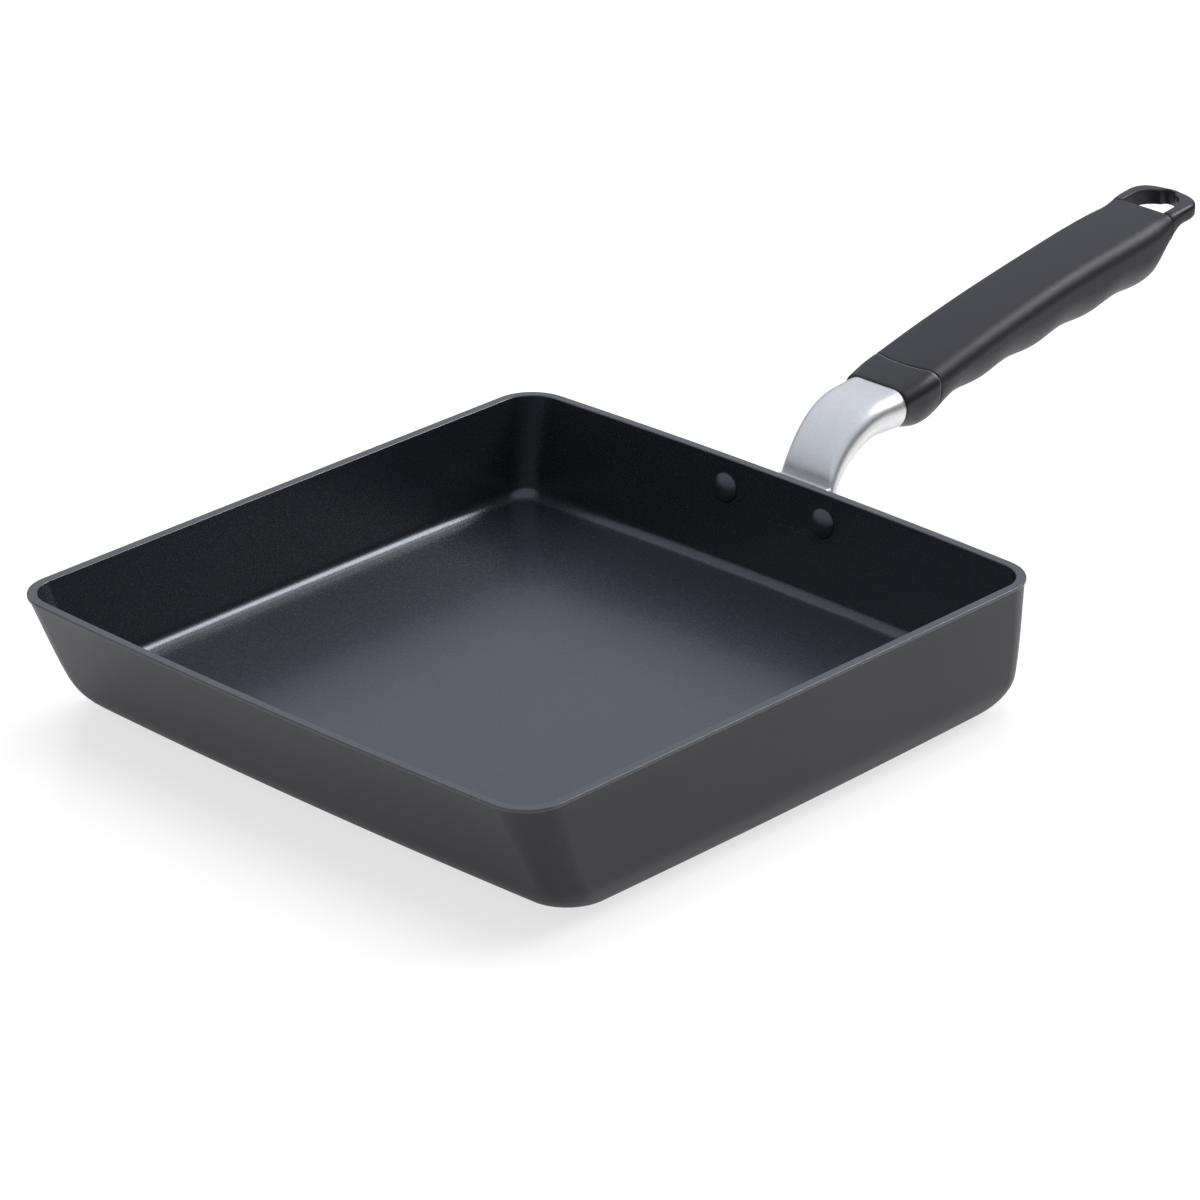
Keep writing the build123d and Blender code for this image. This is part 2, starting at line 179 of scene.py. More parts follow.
class Finishes(bpy.types.PropertyGroup):
    inside: colour("Inside Coating", (0.0105, 0.0115, 0.0155), "Non-stick coating inside the pan")
    outside: colour("Outside Coating", (0.0195, 0.0185, 0.0215), "Coating outside the pan")
    # Rim coating: painted lighter than the wall coatings, standing for the light its upward-facing flat catches
    rim: colour("Rim Coating", (0.026, 0.027, 0.031), "Coating on the flat of the rim")
    silver: colour("Silver Paint", (0.59, 0.59, 0.60), "Paint of the bracket")
    core: colour("Grip Core", (0.010, 0.0095, 0.011), "Hard plastic of the collar and the loop")
    # Grip edge: painted highlight. It is a lighter plastic colour on the collar's rounded edge at the front seam,
    # standing for the light that edge catches.
    edge: colour("Grip Edge", (0.120, 0.120, 0.128), "Painted highlight on the collar's rounded edge at the front seam")
    skin: colour("Grip Skin", (0.010, 0.0095, 0.0115), "Soft skin of the sleeve")
    steel: colour("Screw Steel", (0.55, 0.55, 0.56), "Plated steel of the screw and its washer")


class StageSettings(bpy.types.PropertyGroup):
    lens: FloatProperty(name="Lens", description="Focal length in millimetres", default=160.9, unit="CAMERA")
    azimuth: angle("Azimuth", -47.043, "Turn of the camera round the pan")
    elevation: angle("Elevation", 24.721, "Height of the camera above the floor as an angle")
    roll: angle("Roll", 0.46, "Roll of the camera")
    distance: size("Distance", 1374.9, "Distance of the camera from its target")
    gloss_tint: colour("Mirrored Tint", (0.87, 0.92, 1.0), "Tint of the surround in reflections")
    target: FloatVectorProperty(
        name="Target", description="Point that the camera looks at", default=(0.005248, -0.020174, 0.03743),
        subtype="TRANSLATION", unit="LENGTH", size=3,
    )
    key: plain("Key Light", 27.0, "Power of the soft light that the edges on the handle's side show, in watts")
    top: plain("Top Light", 34.0, "Power of the wide light above, in watts")
    surround: plain("Surround", 0.55, "Strength of the pale surround on the object")
    horizon: plain("Horizon", 0.5, "Strength of the surround near the horizon in reflections")
    dark_side: plain("Dark Side", 0.07, "Strength of the surround's dark side near the horizon in reflections")
    floor_glow: plain("Floor Glow", 0.71, "Share of the floor's look that is plain white")
    floor_gleam: plain("Floor Gleam", 0.45, "Share of the floor's look that is plain white in reflections")


# Node trees as sums

def put(tree, node, inputs):
    """Sets a node's inputs, given by name or number, to values, sockets or fields."""
    for place, value in inputs.items():
        if isinstance(value, Field):
            value = value.socket
        if isinstance(value, bpy.types.NodeSocket):
            tree.links.new(value, node.inputs[place])
        else:
            node.inputs[place].default_value = value
    return node


def add(tree, kind, inputs=(), **options):
    """New node of a tree with its options and inputs."""
    node = tree.nodes.new(kind)
    for option, value in options.items():
        setattr(node, option, value)
    return put(tree, node, dict(inputs))


class Field:
    """Number in a node tree; arithmetic with it adds Math nodes."""

    def __init__(self, tree, socket):
        self.tree = tree
        self.socket = socket

    def calc(self, operation, *others):
        node = add(self.tree, "ShaderNodeMath", enumerate((self, *others)), operation=operation)
        return Field(self.tree, node.outputs[0])

    def __add__(self, other):
        return self.calc("ADD", other)

    def __sub__(self, other):
        return self.calc("SUBTRACT", other)

    def __mul__(self, other):
        return self.calc("MULTIPLY", other)

    def __truediv__(self, other):
        return self.calc("DIVIDE", other)

    def __neg__(self):
        return self * -1

    def __rsub__(self, other):
        return -(self - other)

    __radd__ = __add__
    __rmul__ = __mul__


def vector(tree, **parts):
    """Vector of up to three fields."""
    return add(tree, "ShaderNodeCombineXYZ", parts).outputs[0]


def split(tree, whole):
    """The three fields of a vector."""
    return [Field(tree, part) for part in add(tree, "ShaderNodeSeparateXYZ", {0: whole}).outputs]


def limit(value):
    """Value kept between 0 and 1."""
    if isinstance(value, Field):
        return value.calc("MINIMUM", 1.0).calc("MAXIMUM", 0.0)
    return min(max(value, 0.0), 1.0)


def either(operation, plain_function):
    """Function that takes a number or a field."""
    return lambda value: value.calc(operation) if isinstance(value, Field) else plain_function(value)


cosine, sine = either("COSINE", cos), either("SINE", sin)
root, power = either("SQRT", sqrt), either("EXPONENT", exp)


def bell(value):
    """Bell curve of height 1 round 0."""
    return power(-(value * value))


def mix(low, high, share):
    return low + (high - low) * share


def blend(low, high, share):
    """Change from low to high with level ends, as the share goes from 0 to 1."""
    share = limit(share)
    return mix(low, high, share * share * (3 - 2 * share))


def smooth(shares, place):
    """Value at a place in a table of places and values, on a smooth curve through its points."""
    last = len(shares) - 1
    i = max(k for k in range(last) if shares[k][0] <= max(place, 0))
    (x0, y0), (x1, y1) = shares[i], shares[i + 1]

    def slope(k):
        low, high = shares[max(k - 1, 0)], shares[min(k + 1, last)]
        return (high[1] - low[1]) / (high[0] - low[0])

    step = x1 - x0
    u = (place - x0) / step
    start = y0 * (1 + 2 * u) * (1 - u) ** 2 + slope(i) * step * u * (1 - u) ** 2
    return start + y1 * u * u * (3 - 2 * u) - slope(i + 1) * step * u * u * (1 - u)


def quarter_turn(steps):
    """Directions from 0 to a quarter turn."""
    return [k / steps * pi / 2 for k in range(steps + 1)]


# Meshes

ROUND_STEPS = 48
SHARP_ANGLE = radians(50)


def settings(name):
    return getattr(bpy.context.scene, name)


def words(name):
    return name.replace("_", " ").title()


def new_object(name, data):
    made = bpy.data.objects.new(name, data)
    bpy.context.scene.collection.objects.link(made)
    return made


def moved(rows, place_x, place_z):
    """Rows of points moved along and up."""
    return [[(x + place_x, y, z + place_z) for x, y, z in row] for row in rows]


def skin_rows(rows):
    """Points and faces of a closed skin over rows of points that close on themselves."""
    points = [point for row in rows for point in row]
    across, last = len(rows[0]), len(points) - len(rows[0])
    faces = []
    for start in range(0, last, across):
        after = start + across
        for j in range(across):
            k = (j + 1) % across
            faces.append((start + j, start + k, after + k, after + j))
    faces += [tuple(range(across))[::-1], tuple(range(last, len(points)))]
    return points, faces


def make_piece(name, skin, finishes, pick=None):
    """Object of a skin's points and faces, turned outwards, with a finish for each face."""
    points, faces = skin
    mesh = bpy.data.meshes.new(name)
    form = bmesh.new()
    corners = [form.verts.new(point) for point in points]
    for face in faces:
        form.faces.new([corners[i] for i in face])
    bmesh.ops.recalc_face_normals(form, faces=form.faces)
    for index, face in enumerate(form.faces):
        face.smooth = True
        face.material_index = pick(index) if pick else 0
    form.to_mesh(mesh)
    form.free()
    for one in finishes:
        mesh.materials.append(one)
    return new_object(name, mesh)


def modify(piece, name, kind, **options):
    """Adds a modifier with its options."""
    step = piece.modifiers.new(name, kind)
    for option, value in options.items():
        setattr(step, option, value)
    return step


def round_edges(piece, name, width, segments):
    modify(piece, name, "BEVEL", width=width, segments=segments, limit_method="ANGLE", angle_limit=SHARP_ANGLE)


def weigh_normals(piece):
    """Keeps flats flat beside small rounded edges."""
    modify(piece, "Flat faces", "WEIGHTED_NORMAL", weight=90, keep_sharp=True)


def cut(piece, tool, operation="DIFFERENCE"):
    """Cuts or joins a piece with a tool, which is then removed."""
    modify(piece, "Cut", "BOOLEAN", operation=operation, solver="EXACT", object=tool)
    settle(piece)
    bpy.data.objects.remove(tool)


def settle(piece):
    """Makes the result of a piece's modifiers its own mesh."""
    result = bpy.data.meshes.new_from_object(piece.evaluated_get(bpy.context.evaluated_depsgraph_get()))
    result.name = piece.name
    piece.modifiers.clear()
    piece.data = result


def hand_in(piece, slot, *nodes):
    """Gives a finished piece its body and hides the CAD nodes it stands for. The slot is not used."""
    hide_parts(*nodes)
    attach(piece, "root")


# Pan body

CORNER_SHARES = [(0.0, 1.04), (0.32, 0.76), (1.0, 1.0)]
CORNER_STEPS, EDGE_STEPS = 16, 28
FOOT_STEPS, WALL_STEPS, RIM_STEPS, INSIDE_FOOT_STEPS = 14, 5, 4, 11
# Insets of the rings that keep the flat base and floor flat beside their radius
FLAT_INSETS = (-1 * MM, -6 * MM)


def outline(front, back, side, front_bow, back_bow, side_bow, corner, z):
    """Level ring with rounded corners, whose edges bow outwards."""
    middle, half = (front + back) / 2, (back - front) / 2
    ring = []
    for quarter in range(4):
        sx, sy = (1, 1, -1, -1)[quarter], (-1, 1, 1, -1)[quarter]
        centre_x, centre_y = middle + sx * (half - corner), sy * (side - corner)
        for turn in quarter_turn(CORNER_STEPS):
            turn += (quarter - 1) * pi / 2
            ring.append([centre_x + corner * cos(turn), centre_y + corner * sin(turn)])
        x0, y0 = ring[-1]
        x1, y1 = (2 * middle - x0, y0) if quarter % 2 else (x0, -y0)
        for k in range(1, EDGE_STEPS):
            ring.append([mix(x0, x1, k / EDGE_STEPS), mix(y0, y1, k / EDGE_STEPS)])
    for point in ring:
        along, across = (point[0] - middle) / half, point[1] / side
        point[0] += (back_bow if along > 0 else -front_bow) * (1 - across ** 2) * limit(abs(along) * 4 - 3)
        point[1] += (side_bow if across > 0 else -side_bow) * (1 - along ** 2) * limit(abs(across) * 4 - 3)
    return [(x, y, z) for x, y in ring]


def wall_reach(pan, half_size, lean, radius, foot, inset, z):
    """Reach of a wall at a height: a leaning line, and a radius that joins it to its foot."""
    centre_z = foot + radius

    def line(height):
        drop = pan.height - pan.lip_height - height
        return half_size - pan.lip_overhang - inset / cos(lean) - drop * tan(lean)

    if z > centre_z - radius * sin(lean):
        return line(z)
    drop = min(centre_z - z, radius)
    return line(centre_z) - radius / cos(lean) + sqrt(radius ** 2 - drop ** 2)


def wall_ring(pan, foot, inset, z, grown=0.0):
    """Level ring of the walls' outer surface, or of their inner one for an inset."""
    reaches = []
    for span, lean, radius in (
        (pan.rim_length, pan.front_lean, pan.front_foot), (pan.rim_length, pan.handle_lean, pan.handle_foot),
        (pan.rim_width, pan.side_lean, pan.side_foot),
    ):
        radius = pan.inside_foot if inset else radius
        reaches.append(wall_reach(pan, span / 2, lean, radius, foot, inset, z) + grown)
    up = min(z / pan.height, 1)
    return outline(
        -reaches[0], *reaches[1:], pan.front_bow, pan.handle_bow, mix(pan.side_base_bow, pan.side_rim_bow, up),
        pan.corner * smooth(CORNER_SHARES, up) - inset + grown, z,
    )


def lip_ring(pan, inset, z):
    half = pan.rim_length / 2 - inset
    return outline(
        -half, half, pan.rim_width / 2 - inset, pan.front_bow, pan.handle_bow, pan.side_rim_bow,
        pan.corner - inset, z,
    )


def pan_rings(pan):
    """Rings over the pan's whole surface: up its outside, over the rim, and down its inside."""
    height, floor, edge, over = pan.height, pan.floor, pan.rim_edge, pan.lip_overhang
    foot_top, corner_z, lip_z = pan.front_foot, floor + pan.inside_foot, height - pan.lip_height

    def outer(z, grown=0.0):
        return wall_ring(pan, 0, 0, z, grown)

    def inner(z, grown=0.0):
        return wall_ring(pan, floor, pan.wall, z, grown)

    outside = [outer(0, inset) for inset in FLAT_INSETS[::-1]]
    outside += [outer(foot_top * (1 - cos(turn))) for turn in quarter_turn(FOOT_STEPS)]
    outside += [outer(mix(foot_top, lip_z, k / WALL_STEPS)) for k in range(1, WALL_STEPS + 1)]
    turns = quarter_turn(RIM_STEPS)
    rim = [lip_ring(pan, over / 3, lip_z), lip_ring(pan, 0, lip_z + over / 3)]
    rim += [lip_ring(pan, edge * (1 - cos(turn)), height - edge * (1 - sin(turn))) for turn in turns]
    inside = [inner(height - edge * (1 - cos(turn)), edge * (1 - sin(turn))) for turn in turns]
    inside += [inner(mix(height - edge, corner_z, k / WALL_STEPS)) for k in range(1, WALL_STEPS + 1)]
    inside += [inner(floor + pan.inside_foot * (1 - cos(turn))) for turn in quarter_turn(INSIDE_FOOT_STEPS)[-2::-1]]
    inside += [inner(floor, inset) for inset in FLAT_INSETS]
    return outside, rim, inside


class MakePanBody(bpy.types.Operator):
    """Makes the cast body of the pan"""

    bl_idname = "omelette_pan.make_pan_body"
    bl_label = "Pan Body"

    def execute(self, context):
        outside, rim, inside = pan_rings(settings("pan_sizes"))
        rows = outside + rim + inside
        looks = settings("pan_finishes")
        finishes = [
            coating("coating_outside", looks.outside, roughness=0.44, gloss=0.28, speckle=0.0),
            coating("coating_inside", looks.inside, roughness=0.27, gloss=0.72, speckle=1.0),
            # The rim's finish carries painted light: a lighter copy of the coating for the upward-facing flat
            coating("coating_rim_painted_light", looks.rim, roughness=0.36, gloss=0.6, speckle=0.3),
        ]
        row_finish = [0] * len(outside) + [2] * len(rim) + [1] * len(inside)

        def pick(index):
            row, column = divmod(index, len(rows[0]))
            return row_finish[row] if row < len(rows) - 1 else column

        body = make_piece("pan_shell", skin_rows(rows), finishes, pick)
        weigh_normals(body)
        hand_in(body, "coating", "pan_body")
        return {"FINISHED"}


# Rivets

DOME_STEPS = 10
SHANK_STEP = 0.3 * MM


def wall_x(pan, y, z):
    """Place of the handle wall's outer face at a distance from its middle and a height."""
    bow = pan.handle_bow * (1 - (y / (pan.rim_width / 2)) ** 2)
    drop = pan.height - pan.lip_height - z
    return pan.rim_length / 2 - pan.lip_overhang + bow - drop * tan(pan.handle_lean)


def lathe(profile):
    """Rows of points round X through a profile of places and radii."""
    turns = [2 * pi * k / ROUND_STEPS for k in range(ROUND_STEPS)]
    return [[(place, radius * cos(turn), radius * sin(turn)) for turn in turns] for place, radius in profile]


def dome_profile(diameter, height):
    """Places and radii of a ball cap, from near its pole to its foot."""
    radius = (diameter ** 2 / 4 + height ** 2) / (2 * height)
    turns = [asin(diameter / 2 / radius) * k / DOME_STEPS for k in range(1, DOME_STEPS + 1)]
    return [(height - radius + radius * cos(turn), radius * sin(turn)) for turn in turns]


def new_tree(name, inputs):
    """Geometry tree with a finish and numbers, given with their defaults, as inputs, and its inputs as fields."""
    tree = bpy.data.node_groups.new(name, "GeometryNodeTree")
    tree.interface.new_socket("Geometry", in_out="INPUT", socket_type="NodeSocketGeometry")
    for title, value in inputs.items():
        kind = "NodeSocketInt" if isinstance(value, int) else "NodeSocketFloat"
        tree.interface.new_socket(words(title), in_out="INPUT", socket_type=kind).default_value = value
    tree.interface.new_socket("Finish", in_out="INPUT", socket_type="NodeSocketMaterial")
    tree.interface.new_socket("Geometry", in_out="OUTPUT", socket_type="NodeSocketGeometry")
    source = add(tree, "NodeGroupInput")
    titles = ("geometry", *inputs, "finish")
    return tree, SimpleNamespace(**{title: Field(tree, source.outputs[words(title)]) for title in titles})


def end_tree(tree, geometry, finish):
    """Ends a tree in Realize Instances and Set Material."""
    real = add(tree, "GeometryNodeRealizeInstances", {0: geometry})
    paint = add(tree, "GeometryNodeSetMaterial", {"Geometry": real.outputs[0], "Material": finish})
    add(tree, "NodeGroupOutput", {0: paint.outputs[0]})
    return tree


def grow(piece, tree, **values):
    """Runs a tree on a piece with the given inputs and keeps the result as a plain mesh."""
    step = modify(piece, tree.name, "NODES", node_group=tree)
    for title, value in values.items():
        step[tree.interface.items_tree[words(title)].identifier] = value
    settle(piece)


def rivet_tree():
    """Rivets on a line along the handle wall."""
    tree, given = new_tree("Rivets on the wall", {
        "count": 2, "spacing": 35 * MM, "place_x": 0.0, "place_z": 0.0, "lean": 0.0,
    })
    line = add(tree, "GeometryNodeMeshLine", {
        "Count": given.count, "Offset": vector(tree, Y=given.spacing),
        "Start Location": vector(tree, X=given.place_x, Y=given.spacing * (given.count - 1) * -0.5, Z=given.place_z),
    })
    place = add(tree, "GeometryNodeInstanceOnPoints", {
        "Points": line.outputs[0], "Instance": given.geometry, "Rotation": vector(tree, Y=given.lean),
    })
    return end_tree(tree, place.outputs[0], given.finish)


class MakeRivets(bpy.types.Operator):
    """Makes the rivets that hold the bracket on the handle wall"""

    bl_idname = "omelette_pan.make_rivets"
    bl_label = "Rivets"

    def execute(self, context):
        pan, rivet = settings("pan_sizes"), settings("rivet_sizes")
        plate = settings("bracket_sizes").flange_thickness
        inner = [(-pan.wall - place, radius) for place, radius in dome_profile(rivet.dome, rivet.dome_height)]
        outer = [(plate + place, radius) for place, radius in dome_profile(rivet.tail, rivet.tail_height)]
        shank = [(SHANK_STEP - pan.wall, rivet.shank / 2), (plate - SHANK_STEP, rivet.shank / 2)]
        colour_inside = settings("pan_finishes").inside
        finish = coating("coating_rivets", colour_inside, roughness=0.34, gloss=0.7, speckle=0.6)
        pair = make_piece("rivet_domes", skin_rows(lathe(inner + shank + outer[::-1])), [finish])
        z = pan.height - rivet.drop
        grow(
            pair, rivet_tree(), count=rivet.rivets, spacing=rivet.spacing, lean=pan.handle_lean, finish=finish,
            place_x=wall_x(pan, rivet.spacing / 2, z), place_z=z,
        )
        hand_in(pair, "coating", "rivets")
        return {"FINISHED"}


# Bracket

NECK_WIDTH_SHARES = [(0.0, 0.87), (0.22, 0.855), (0.36, 0.88), (0.53, 0.915), (0.8, 0.963), (1.0, 1.0)]
NECK_DEPTH_SHARES = [
    (0.0, 0.31), (0.08, 0.35), (0.22, 0.55), (0.36, 0.735), (0.53, 0.825), (0.8, 0.92), (1.0, 1.0),
]
CURVE_SHARE = 0.8
NECK_STEPS, SECTION_STEPS, CHANNEL_STEPS = 90, 9, 12
# Rounded edges as shares of the gooseneck's depth
NECK_SHOULDER_SHARE, NECK_CORNER_SHARE = 0.38, 0.6
# Channel under the gooseneck: its half width and depth as shares, and where it starts, is full, thins and ends
CHANNEL_WIDTH_SHARE, CHANNEL_DEPTH_SHARE = 0.5, 0.5
CHANNEL_PLACE_SHARES = (0.18, 0.26, 0.82, 0.92)
CHANNEL_LEAD = 0.8 * MM
SEAT_GAP, KNEE_GAP = 0.02 * MM, 0.6 * MM
SEAT_EDGE, PLATE_EDGE, KNEE_TOP_EDGE, CAST_FILLET = 0.4 * MM, 1.0 * MM, 0.6 * MM, 0.5 * MM


def neck_line(neck, rim_x, rim_z, grip_x, share):
    """Point and heading of the gooseneck's top line: a quarter ellipse and a straight."""
    turn = mix(neck.start_turn, neck.end_turn, min(share / CURVE_SHARE, 1))
    x = rim_x + neck.neck_reach - neck.neck_run * cos(turn)
    z = rim_z - neck.neck_drop + neck.neck_climb * sin(turn)
    heading = atan2(neck.neck_climb * cos(turn), neck.neck_run * sin(turn))
    if share > CURVE_SHARE:
        u = (share - CURVE_SHARE) / (1 - CURVE_SHARE)
        run = (grip_x - x) * u
        x, z, heading = x + run, z + run * tan(heading), heading * (1 - u)
    return x, z, heading


def neck_section(half_width, depth, groove):
    """Section of the gooseneck below its top line, with the open channel in its underside."""
    shoulder, corner = depth * NECK_SHOULDER_SHARE, depth * NECK_CORNER_SHARE
    lip = half_width * CHANNEL_WIDTH_SHARE
    last_turn = acos(limit((lip + CHANNEL_LEAD - half_width + corner) / corner))
    half = [
        (half_width - shoulder + shoulder * sin(turn), -shoulder + shoulder * cos(turn))
        for turn in quarter_turn(SECTION_STEPS)
    ]
    for k in range(SECTION_STEPS + 1):
        turn = last_turn * k / SECTION_STEPS
        half.append((half_width - corner + corner * cos(turn), corner - depth - corner * sin(turn)))
    for k in range(1, CHANNEL_STEPS + 1):
        y = lip + CHANNEL_LEAD - 2 * CHANNEL_LEAD * k / CHANNEL_STEPS
        under = corner - depth - sqrt(corner ** 2 - max(y - half_width + corner, 0) ** 2)
        half.append((y, under + groove * blend(0, 1, k / CHANNEL_STEPS)))
    return half + [(-y, z) for y, z in half[::-1]]


def neck_rows(neck, rim_x, rim_z, grip_x):
    rows = []
    start, full, thin, end = CHANNEL_PLACE_SHARES
    for i in range(NECK_STEPS + 1):
        share = i / NECK_STEPS
        x, z, heading = neck_line(neck, rim_x, rim_z, grip_x, share)
        half = neck.neck_width / 2 * smooth(NECK_WIDTH_SHARES, share)
        depth = neck.neck_depth * smooth(NECK_DEPTH_SHARES, share)
        open_share = blend(0, 1, (share - start) / (full - start)) * blend(1, 0, (share - thin) / (end - thin))
        ring = neck_section(half, depth, depth * CHANNEL_DEPTH_SHARE * open_share)
        rows.append([(x - h * sin(heading), y, z + h * cos(heading)) for y, h in ring])
    return rows


def rounded_ring(half_a, half_b, corner, steps=8):
    """Rounded rectangle round the origin, as pairs."""
    ring = []
    for quarter in range(4):
        sa, sb = (1, -1, -1, 1)[quarter], (1, 1, -1, -1)[quarter]
        for k in range(steps + 1):
            turn = (quarter + k / steps) * pi / 2
            ring.append((sa * (half_a - corner) + corner * cos(turn), sb * (half_b - corner) + corner * sin(turn)))
    return ring


def plate_rows(half_a, half_b, corner, low, high, low_edge, high_edge):
    """Rings of a rounded plate between two heights, with rounded edges, as triples."""
    turns = quarter_turn(5)
    levels = [(low + low_edge * (1 - cos(turn)), low_edge * (1 - sin(turn))) for turn in turns]
    levels += [(high - high_edge * (1 - sin(turn)), high_edge * (1 - cos(turn))) for turn in turns]
    return [
        [(a, b, level) for a, b in rounded_ring(half_a - inset, half_b - inset, corner - inset)]
        for level, inset in levels
    ]


def wall_place(pan, a, b, c, middle_z):
    """Point at a distance c off the handle wall, at a across and b up from its middle."""
    z = middle_z + b * cos(pan.handle_lean)
    return wall_x(pan, a, z) + c * cos(pan.handle_lean), a, z - c * sin(pan.handle_lean)


class MakeBracket(bpy.types.Operator):
    """Makes the cast bracket: the plate on the wall, the block and the gooseneck"""

    bl_idname = "omelette_pan.make_bracket"
    bl_label = "Bracket"

    def execute(self, context):
        pan, neck = settings("pan_sizes"), settings("bracket_sizes")
        rim_x, rim_z = pan.rim_length / 2 + pan.handle_bow, pan.height
        finish = silver_paint("silver_paint", settings("pan_finishes").silver)
        rows = neck_rows(neck, rim_x, rim_z, grip_place()[0])
        bracket = make_piece("bracket_casting", skin_rows(rows), [finish])
        middle_z = rim_z - neck.flange_drop - neck.flange_height / 2
        plate = plate_rows(
            neck.flange_width / 2, neck.flange_height / 2, neck.flange_corner,
            SEAT_GAP, neck.flange_thickness, SEAT_EDGE, PLATE_EDGE,
        )
        plate = [[wall_place(pan, *point, middle_z) for point in ring] for ring in plate]
        knee_start, knee_end = rim_x + KNEE_GAP, rim_x + neck.knee_reach
        knee_low = rim_z - neck.knee_drop - neck.knee_height
        block = plate_rows(
            (knee_end - knee_start) / 2, neck.knee_width / 2, neck.knee_corner,
            knee_low, knee_low + neck.knee_height, neck.knee_edge, KNEE_TOP_EDGE,
        )
        block = moved(block, (knee_start + knee_end) / 2, 0)
        for name, tool in (("flange_tool", plate), ("knee_tool", block)):
            cut(bracket, make_piece(name, skin_rows(tool), [finish]), "UNION")
        for face in bracket.data.polygons:
            face.use_smooth = True
        round_edges(bracket, "Cast fillets", CAST_FILLET, 3)
        weigh_normals(bracket)
        hand_in(bracket, "silver_paint", "handle_bracket")
        return {"FINISHED"}


# Grip

WIDTH_SHARES = [(0.0, 0.911), (0.07, 1.0), (0.3, 0.992), (0.55, 0.976), (0.79, 0.992), (0.88, 0.919), (1.0, 0.903)]
# Rows of the collar: their share of the way to the front seam, and their step and inset in edge radii
COLLAR_SHARES = [
    (0.0, 0.0, 1.6), (0.0, 0.25, 0.75), (0.0, 0.9, 0.2), (0.0, 1.8, 0.0),
    *((k / 8, 0.0, 0.0) for k in range(1, 7)),
    (1.0, -3.4, 0.0), (1.0, -2.2, 0.08), (1.0, -1.2, 0.28), (1.0, -0.5, 0.55), (1.0, -0.12, 0.9), (1.0, 0.0, 1.4),
]
# Rows of the collar's rounded edge at the front seam, which get the painted highlight colour
SEAM_HIGHLIGHT_ROWS = range(len(COLLAR_SHARES) - 4, len(COLLAR_SHARES) - 1)
BAR_STEPS, ARM_STEPS, END_STEPS, CURL_ROWS = 45, 9, 12, 4
# Keeps a whole number whole when it is rounded down
NUDGE = 0.001
SLEEVE_GAP = 0.05 * MM
SLEEVE_LAP = 0.25 * MM
WELD = 0.002 * MM
BORE_OVERRUN = 4 * MM
BORE_EDGE = 0.15 * MM
HOLE_EDGE = 0.45 * MM
RELIEF_SHARE, ARM_SHOULDER_SHARE = 0.5, 0.7
# First rows of each of the loop's arms, inside the sleeve's end: insets and steps back
LOOP_INSET = 0.42 * MM
LOOP_ENDS = ((LOOP_INSET, -1.5 * MM), (0.4 * MM, 0.0))
# The next ones, at the rear seam, as shares of its edge radius
LOOP_END_SHARES = ((0.5, 0.1), (0.1, 0.45))


def grip_place():
    """Place of the grip's front end along and above the pan."""
    pan, grip = settings("pan_sizes"), settings("grip_sizes")
    return pan.rim_length / 2 + pan.handle_bow + grip.reach, pan.height + grip.rise


def grip_top(grip, t):
    """Height of the grip's top line above its front end's, at a distance behind its front face."""
    u = t / grip.length
    return grip.climb * u + 4 * grip.crown * u * (1 - u)


def grip_depth(grip, t):
    """Depth of the grip below its top line, with the finger bulges and the guard in front of them."""
    wave = grip.bulge_height / 2 * (1 - cosine(2 * pi * (t - grip.first_bulge) / grip.bulge_pitch))
    guard = grip.guard_height * bell((t - grip.guard_place) / grip.guard_length)
    underside = grip.belly - grip.rise + grip.belly_climb * t / grip.length + wave - guard
    return blend(grip_top(grip, t) - underside, grip.loop_thickness, (t - grip.tail) / grip.tail_length)


def grip_point(grip, t, half_width, side, upper, turn, inset):
    """Place across and above the grip's front end of a point on its rounded section.

    Side goes from 1 to -1, upper from 1 to 0, and turn is the direction in which the surface faces. All of them
    are numbers, or all are fields of a node tree.
    """
    tail = (t - grip.tail) / grip.tail_length
    shoulder = blend(grip.collar_shoulder, grip.shoulder, t / grip.guard_place / 2)
    shoulder = blend(shoulder, grip.loop_shoulder, tail)
    corner = blend(blend(grip.collar_corner, grip.corner, t / grip.first_bulge), grip.loop_corner, tail)
    low, high = corner - inset, shoulder - inset
    drop = low - grip_depth(grip, t) + 2 * inset

    def from_middle(radius):
        return side * (half_width - inset - radius) + radius * cosine(turn)

    across = mix(from_middle(low), from_middle(high), upper)
    above = grip_top(grip, t) - inset + mix(drop + low * sine(turn), high * sine(turn) - high, upper)
    arch = blend(grip.arch, grip.arch * 0, tail) * upper
    return across, above - arch * across * across / (half_width * half_width)


def seam_at(grip, side, upper, turn):
    """Place of the curved front seam at a point of the section."""
    radius = mix(grip.corner, grip.shoulder, upper)
    across = side * (grip.half_width - radius) + radius * cosine(turn)
    return grip.seam + grip.seam_radius - root(grip.seam_radius * grip.seam_radius - across * across)


def section_place(column, corner_steps, flat_steps, quarter):
    """Side, upper share and turn of a column: a rounded edge, then the flat up to the next rounded edge."""
    k = column - quarter * (corner_steps + flat_steps)
    flat = limit((k - (corner_steps - 1)) / (flat_steps + 1))
    turn = (quarter + limit(k / (corner_steps - 1))) * (pi / 2)
    side = 1 - 2 * limit(mix(on_left(quarter), on_left(quarter + 1), flat))
    upper = 1 - limit(mix(is_low(quarter), is_low(quarter + 1), flat))
    return side, upper, turn


def on_left(quarter):
    """1 for the second and third quarter, else 0."""
    return limit(quarter * 8 - 4) * limit(20 - quarter * 8)


def is_low(quarter):
    """1 for the third and fourth quarter, else 0."""
    return limit(quarter * 8 - 12) * limit(28 - quarter * 8)


def share_curve(tree, place, shares):
    """Value at a place of a smooth curve through a table of places and values."""
    curve = add(tree, "ShaderNodeFloatCurve", {"Value": place})
    points = curve.mapping.curves[0].points
    points[0].location, points[1].location = shares[0], shares[-1]
    for where, value in shares[1:-1]:
        points.new(where, value)
    curve.mapping.update()
    return Field(tree, curve.outputs[0])


